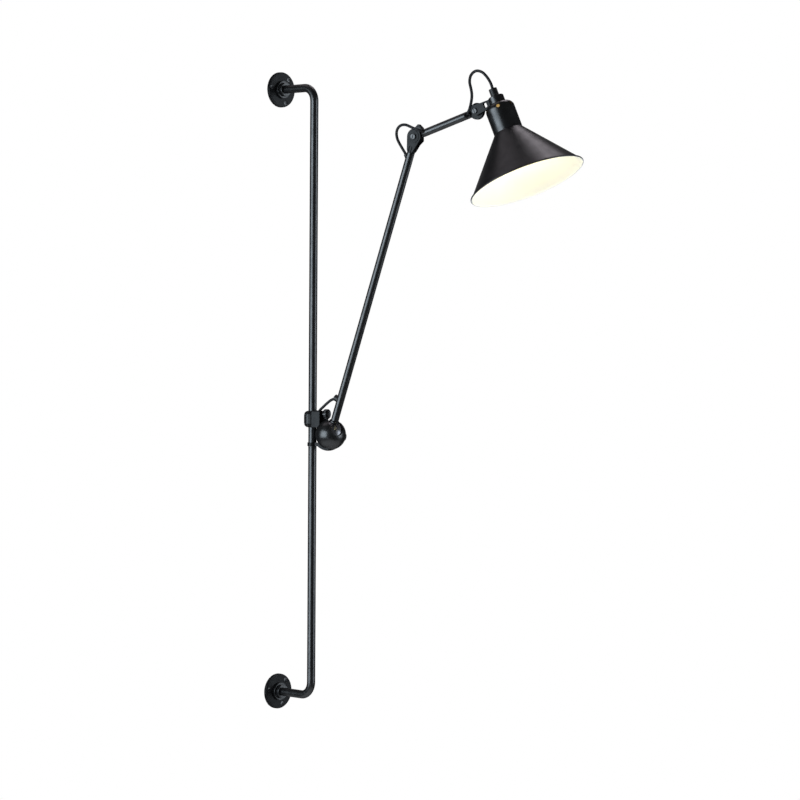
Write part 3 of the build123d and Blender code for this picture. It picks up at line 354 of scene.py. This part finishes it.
def shade_paint():
    """Black outside and white inside."""
    s = material_shader("shade_paint")
    outside = paint_film(
        s,
        colours=SHADE_BLACKS,
        roughnesses=(0.30, 0.40),
        sheens=(SHADE_SHEEN * 0.9, SHADE_SHEEN * 1.1),
        blotches=30.0,
        smudges=90.0,
        most_worn=0.7,
    )
    lining = s.surface(
        Base_Color=s.mix(s.noise(22.0, detail=3.0), *LINING_WHITES),
        Roughness=0.5,
        Specular_IOR_Level=0.3,
        Normal=s.relief(PAINT_GRAIN, 2.0, PAINT_RELIEF),
    )
    return s.finish(s.between(inside_shade(s), outside, lining))


# ---- other materials
METAL_GRAIN = 2600.0
METAL_RELIEF = 0.00001
BULB_STRENGTH = 17.0
BULB_WARM = ((1.0, 0.85, 0.36), (1.0, 0.89, 0.43))
BULB_BODY = (0.9, 0.87, 0.8, 1.0)
CERAMIC_CREAM = ((0.55, 0.50, 0.42), (0.63, 0.60, 0.53))
# painted glow of the lamp holder, which is no lamp: its colours and its strength
CERAMIC_PAINTED_GLOW = ((1.0, 0.58, 0.12), (1.0, 0.64, 0.17))
CERAMIC_PAINTED_GLOW_STRENGTH = 0.42
SHEATH_BLACKS = ((0.006, 0.006, 0.007), (0.014, 0.014, 0.016))
SHEATH_SHEEN = 0.02
SHEATH_GRAIN = 2200.0
SHEATH_RELIEF = 0.00005


def bare_metal(name, colour, roughness):
    """Turned or drawn bare metal with fine grain and smudges."""
    s = material_shader(name)
    tone = s.spread(s.noise(60.0, detail=4.0), 0.0, 1.0)
    body = s.surface(
        Base_Color=s.mix(tone, *shades(colour, darker=0.8, lighter=1.1)),
        Metallic=1.0,
        Roughness=s.spread(s.noise(140.0, detail=3.0), roughness - 0.06, roughness + 0.08),
        Normal=s.relief(METAL_GRAIN, 2.0, METAL_RELIEF),
    )
    return s.finish(body)


def glowing_glass():
    """Frosted bulb glass, lit from inside."""
    s = material_shader("glowing_glass")
    body = s.surface(Base_Color=BULB_BODY, Roughness=0.4)
    light = s.glow(s.mix(s.noise(40.0, detail=2.0), *BULB_WARM), BULB_STRENGTH)
    return s.finish(s.both(body, light))


def ceramic_with_painted_glow():
    """Glazed holder with a painted warm glow: an emission that stands in for the bulb's light
    showing through it.
    """
    s = material_shader("ceramic_with_painted_glow")
    tone = s.spread(s.noise(70.0, detail=3.0), 0.0, 1.0)
    body = s.surface(
        Base_Color=s.mix(tone, *CERAMIC_CREAM),
        Roughness=s.spread(s.noise(110.0, detail=3.0), 0.25, 0.36),
    )
    # painted glow: the holder shines with this warm emission though it is no lamp
    light = s.glow(s.mix(tone, *CERAMIC_PAINTED_GLOW), CERAMIC_PAINTED_GLOW_STRENGTH)
    return s.finish(s.both(body, light))


def cable_sheath():
    """Black cable sheath, with a fine uneven surface."""
    s = material_shader("cable_sheath")
    tone = s.spread(s.noise(120.0, detail=4.0), 0.0, 1.0)
    base = s.mix(tone, *SHEATH_BLACKS)
    roughness = s.spread(s.noise(260.0, detail=3.0), 0.42, 0.58)
    normal = s.relief(SHEATH_GRAIN, 3.0, SHEATH_RELIEF)
    return s.finish(coat(s, base, roughness, SHEATH_SHEEN, normal))


# ---- the CAD nodes' materials, by the record's material slots
PAINTS = {
    "black_metal": painted("black_paint", (0.004, 0.0042, 0.0046), roughness=0.30, sheen=0.06),
    "black_hardware": painted("black_screws", (0.006, 0.006, 0.007), roughness=0.28, sheen=0.06),
    "knob_black": painted("knob_moulding", (0.004, 0.004, 0.0045), roughness=0.26, sheen=0.05),
    "gland_black": painted("gland_moulding", (0.005, 0.005, 0.005), roughness=0.45, sheen=0.035),
    "bearing_plastic": painted("bearing_plastic", (0.02, 0.02, 0.022), roughness=0.5, sheen=0.03),
    "dark_steel": bare_metal("dark_turned_steel", (0.20, 0.20, 0.21), roughness=0.35),
    "contact_brass": bare_metal("contact_brass", (0.75, 0.55, 0.25), roughness=0.3),
    "bulb_cap_metal": bare_metal("cap_aluminium", (0.75, 0.75, 0.76), roughness=0.32),
    "holder_ceramic": ceramic_with_painted_glow(),
    "cable_black": cable_sheath(),
    "bulb_glass": glowing_glass(),
}
DULL_BLACK = painted("dull_black_paint", (0.004, 0.0042, 0.0046), roughness=0.34, sheen=0.014)
DULL_NODES = (
    "upper_wall_plate",
    "lower_wall_plate",
    "carriage_bracket",
    "lower_guide_ring",
    "elbow_fork",
    "elbow_tongue",
    "head_stirrup",
    "head_eye",
)


def paint_nodes():
    """Each CAD node gets its slot's material, apart from the dull nodes and the shade."""
    special = {name: DULL_BLACK for name in DULL_NODES}
    special["shade"] = shade_paint()
    for row in frame["record"]["subparts"]:
        name = row["node"]
        materials = frame["nodes"][name].data.materials
        materials.clear()
        materials.append(special.get(name, PAINTS[row["material_slot"]]))


# ---- cables
# Each route's points are millimetres from its joint's middle, along OUT, AWAY and UP.
BASE_ROUTE = [
    (-21.7, -7.0, 35.1),
    (-21.1, -7.0, 42.3),
    (-14.5, -5.9, 47.9),
    (-6.5, -4.0, 55.5),
    (2.3, -2.4, 62.5),
    (12.3, -0.8, 65.6),
    (20.83, 0.0, 61.57),
]
ELBOW_ROUTE = [
    (-14.07, 0.0, -41.6),
    (-19.0, -0.2, -31.6),
    (-26.0, -1.2, -21.2),
    (-32.6, -2.8, -10.4),
    (-36.8, -4.8, -0.2),
    (-35.6, -7.2, 12.0),
    (-26.8, -9.2, 20.6),
    (-14.6, -10.8, 21.4),
    (-5.0, -12.2, 18.0),
    (5.4, -12.8, 13.6),
    (16.8, -9.4, 10.0),
    (24.2, 0.0, 7.58),
]
HEAD_ROUTE = [
    (-24.3, 0.0, -7.6),
    (-16.2, -8.4, -6.4),
    (-9.0, -11.0, 3.2),
    (-6.2, -10.2, 15.4),
    (-5.6, -8.8, 27.6),
    (-8.9, -7.4, 39.6),
    (-13.4, -6.0, 51.2),
    (-11.6, -4.6, 63.2),
    (-2.4, -3.2, 70.6),
    (9.8, -1.8, 68.2),
    (19.4, -0.8, 59.2),
    (27.2, 0.0, 47.6),
    (31.4, 0.0, 35.88),
    (35.6, 0.0, 26.47),
]
MILLIMETRE = 0.001
SPAN_STEPS = 10
RING_SIDES = 20


def cable_line(name, route, pivot):
    """Points of a smooth line that the route's points steer, evenly fine."""
    data = bpy.data.curves.new(name + "_line", "CURVE")
    data.dimensions = "3D"
    data.resolution_u = SPAN_STEPS
    spline = data.splines.new("NURBS")
    spline.points.add(len(route) - 1)
    for point, (out, away, up) in zip(spline.points, route):
        offset = OUT * out + AWAY * away + UP * up
        point.co = (*(pivot + offset * MILLIMETRE), 1.0)
    spline.order_u = 3
    spline.use_endpoint_u = True
    holder = add_object(name + "_line", data)
    bpy.context.view_layer.update()
    shown = holder.evaluated_get(bpy.context.evaluated_depsgraph_get())
    mesh = bpy.data.meshes.new_from_object(shown)
    line = [v.co.copy() for v in mesh.vertices]
    bpy.data.objects.remove(holder)
    bpy.data.meshes.remove(mesh)
    return line


def tube_points(line, radius):
    """One ring of points round each point of a line, with no twist from ring to ring."""
    points = []
    side = (line[1] - line[0]).cross(AWAY).normalized()
    for index, here in enumerate(line):
        before = line[max(index - 1, 0)]
        after = line[min(index + 1, len(line) - 1)]
        along = (after - before).normalized()
        side = (side - along * side.dot(along)).normalized()
        across = along.cross(side)
        for step in range(RING_SIDES):
            angle = 2 * math.pi * step / RING_SIDES
            points.append(here + (side * math.cos(angle) + across * math.sin(angle)) * radius)
    return points


def tube_faces(ring_count):
    """Faces between the rings, and one across each end."""
    faces = []
    for index in range(ring_count - 1):
        near, far = index * RING_SIDES, (index + 1) * RING_SIDES
        for step in range(RING_SIDES):
            following = (step + 1) % RING_SIDES
            faces.append((near + step, near + following, far + following, far + step))
    last = (ring_count - 1) * RING_SIDES
    faces.append(tuple(reversed(range(RING_SIDES))))
    faces.append(tuple(last + step for step in range(RING_SIDES)))
    return faces


def tube(name, line, radius):
    """Round tube along a line, closed at both ends and smooth between them."""
    made = add_mesh(name, tube_points(line, radius), tube_faces(len(line)))
    for polygon in made.data.polygons:
        polygon.use_smooth = len(polygon.vertices) == 4
    return made


def cable(name, node, route, pivot):
    line = cable_line(name, route, pivot)
    sheath = tube(name, line, CABLE_DIAMETER / 2)
    sheath.data.materials.append(PAINTS["cable_black"])
    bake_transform(sheath)
    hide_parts(node)


# ---- countersunk wall screws in the two plates
SCREW_RADIUS = 0.0044
SCREW_SUNK = 0.0006
SCREW_CROWN = 0.0004
SCREW_TURN = 0.7  # radians that each head's cross is turned past the one before
RECESS_DEPTH = 0.0011
RECESS_REACH = 0.0026
RECESS_HALF_WIDTH = 0.00055
SCREW_SIDES = 48
SCREW_RINGS = 10


def screw_points(place, turn):
    """Rings of points from the rim to the middle, crowned, and sunk in the cross recess."""
    points = []
    for ring in range(SCREW_RINGS + 1):
        radius = SCREW_RADIUS * (1 - ring / SCREW_RINGS)
        crown = SCREW_CROWN * (1 - (radius / SCREW_RADIUS) ** 2)
        for step in range(SCREW_SIDES):
            angle = 2 * math.pi * step / SCREW_SIDES + turn
            off_arm = min(abs(math.sin(angle - turn)), abs(math.cos(angle - turn))) * radius
            in_recess = off_arm < RECESS_HALF_WIDTH and radius < RECESS_REACH
            depth = RECESS_DEPTH if in_recess else 0.0
            x, z = radius * math.cos(angle), radius * math.sin(angle)
            points.append((place.x + x, place.y - crown + depth, place.z + z))
    return points


def screw_faces():
    faces = []
    for ring in range(SCREW_RINGS):
        outer, inner = ring * SCREW_SIDES, (ring + 1) * SCREW_SIDES
        for step in range(SCREW_SIDES):
            following = (step + 1) % SCREW_SIDES
            faces.append((outer + step, inner + step, inner + following, outer + following))
    return faces


def wall_screw(name, place, turn):
    """Slightly domed countersunk head with a cross recess, facing the room."""
    head = add_mesh(name, screw_points(place, turn), screw_faces())
    head.data.materials.append(PAINTS["black_hardware"])
    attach(head, "wall_bar")


def make_wall_screws():
    radius = SCREW_CIRCLE / 2
    for plate, height in (("upper", 0.0), ("lower", -MOUNT_SPACING)):
        for index in range(SCREW_COUNT):
            angle = math.radians(SCREW_FIRST_DEGREES + index * 360 / SCREW_COUNT)
            x, z = radius * math.cos(angle), height + radius * math.sin(angle)
            place = Vector((x, -PLATE_THICKNESS + SCREW_SUNK, z))
            wall_screw(f"{plate}_wall_screw_{index + 1}", place, SCREW_TURN * index)


# ---- light and backdrop
ROOM_LIGHT = 0.4
ROOM_MIRRORED = 0.04
BACKDROP_START = 0.8
BACKDROP_FULL = 0.95
FLOOR_HALF = 3.0
FLOOR_HEIGHT = -3.2
FLOOR_GREY = (0.85, 0.85, 0.85, 1.0)
FLOOR_WHITE_SHARE = 0.9
NEAR_BAR_MIDDLE = Vector((0, -0.1, -0.45))


def softbox(name, target, azimuth, elevation, distance, width, tall, radiance, colour):
    """Softbox that faces a point of the lamp, set by the brightness of its own face."""
    turn, lift = math.radians(azimuth), math.radians(elevation)
    level = math.cos(lift) * distance
    place = target + Vector(
        (math.sin(turn) * level, -math.cos(turn) * level, math.sin(lift) * distance)
    )
    data = bpy.data.lights.new(name, "AREA")
    data.shape = "RECTANGLE"
    data.size = width
    data.size_y = tall
    data.energy = radiance * math.pi * width * tall
    data.color = colour
    light = add_object(name, data)
    light.location = place
    light.rotation_mode = "QUATERNION"
    light.rotation_quaternion = (target - place).to_track_quat("-Z", "Y")


def make_lights():
    """Two large boxes level with the bar, and two high ones behind the plane of the wall."""
    softbox(
        "left",
        NEAR_BAR_MIDDLE,
        azimuth=-100.0,
        elevation=0.0,
        distance=3.2,
        width=2.9,
        tall=2.4,
        radiance=5.4,
        colour=(0.78, 0.90, 1.0),
    )
    softbox(
        "right",
        NEAR_BAR_MIDDLE,
        azimuth=33.0,
        elevation=0.0,
        distance=3.2,
        width=1.7,
        tall=2.4,
        radiance=3.6,
        colour=(0.82, 0.91, 1.0),
    )
    softbox(
        "high_right",
        HEAD,
        azimuth=121.0,
        elevation=57.0,
        distance=3.0,
        width=1.2,
        tall=1.2,
        radiance=6.5,
        colour=(1.0, 0.93, 1.0),
    )
    softbox(
        "high_back",
        HEAD,
        azimuth=-172.0,
        elevation=52.0,
        distance=3.0,
        width=2.2,
        tall=1.6,
        radiance=0.9,
        colour=(1.0, 0.92, 1.0),
    )


def background(s, strength):
    return s.fed_node("ShaderNodeBackground", Color=WHITE, Strength=strength).outputs[0]


def make_world():
    """White to the camera and dim as light; reflections show white behind the lamp alone."""
    s = Shader(bpy.data.worlds.new("studio"), "ShaderNodeOutputWorld", "Generated")
    rays = s.node("ShaderNodeLightPath").outputs
    camera_looks = (-math.sin(CAMERA_AZIMUTH), math.cos(CAMERA_AZIMUTH), 0)
    forward = s.vector("DOT_PRODUCT", s.place, camera_looks)
    behind = s.spread(forward, 0.0, 1.0, start=BACKDROP_START, finish=BACKDROP_FULL)
    mirrored = s.math("MULTIPLY", rays["Is Glossy Ray"], behind)
    seen = s.math("MAXIMUM", rays["Is Camera Ray"], rays["Is Transmission Ray"])
    shown = s.math("MAXIMUM", seen, mirrored)
    room = s.spread(rays["Is Glossy Ray"], ROOM_LIGHT, ROOM_MIRRORED, start=0.0, finish=1.0)
    both = s.between(shown, background(s, room), background(s, 1.0))
    bpy.context.scene.world = s.finish(both)


def make_floor():
    """Pale floor well below the lamp, nearly white to the camera."""
    signs = ((-1, -1), (1, -1), (1, 1), (-1, 1))
    corners = [(x * FLOOR_HALF, y * FLOOR_HALF, FLOOR_HEIGHT) for x, y in signs]
    floor = add_mesh("floor", corners, [(0, 1, 2, 3)])
    s = material_shader("floor_white")
    plain = s.surface(Base_Color=FLOOR_GREY, Roughness=0.9)
    rays = s.node("ShaderNodeLightPath").outputs
    seen = s.math("MAXIMUM", rays["Is Camera Ray"], rays["Is Transmission Ray"])
    share = s.math("MULTIPLY", seen, FLOOR_WHITE_SHARE)
    floor.data.materials.append(s.finish(s.between(share, plain, s.glow(WHITE, 1.0))))


make_camera()
cable("base_cable_sheath", "base_cable", BASE_ROUTE, BALL)
cable("elbow_cable_sheath", "elbow_cable", ELBOW_ROUTE, ELBOW)
cable("head_cable_sheath", "head_cable", HEAD_ROUTE, HEAD)
paint_nodes()
make_wall_screws()
make_world()
make_floor()
make_lights()
bpy.context.scene.view_settings.view_transform = "Standard"
